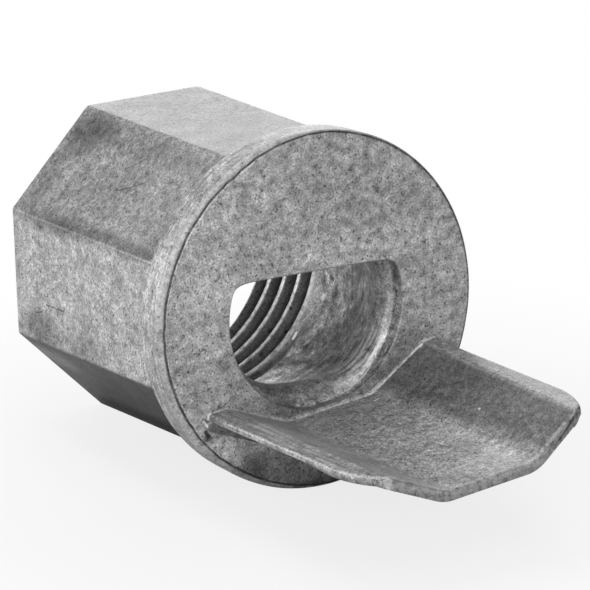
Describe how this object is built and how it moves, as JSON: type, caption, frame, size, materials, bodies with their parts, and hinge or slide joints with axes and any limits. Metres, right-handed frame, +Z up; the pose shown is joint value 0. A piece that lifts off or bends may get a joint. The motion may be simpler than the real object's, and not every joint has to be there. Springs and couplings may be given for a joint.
{
  "type": "conduit connector",
  "caption": "Short octagonal die-cast fitting with a female pipe thread at the rear, a round flange with a D-shaped mouth, and a trough-shaped tongue that leads wires out.",
  "frame": {"origin": "centre of the bottom of the casting's bounding box, under the flange's lowest point", "axes": "+Y along the bore axis from the mouth to the threaded rear end, +Z up towards the mouth's flat top, +X to the right seen from the mouth"},
  "size_m": [0.0248, 0.042, 0.0248],
  "materials": {
    "cast_zinc": "bare die-cast zinc alloy, dull light grey with fine mottling"
  },
  "bodies": {
    "root": {"conduit_connector": "cast_zinc"}
  },
  "joints": []
}
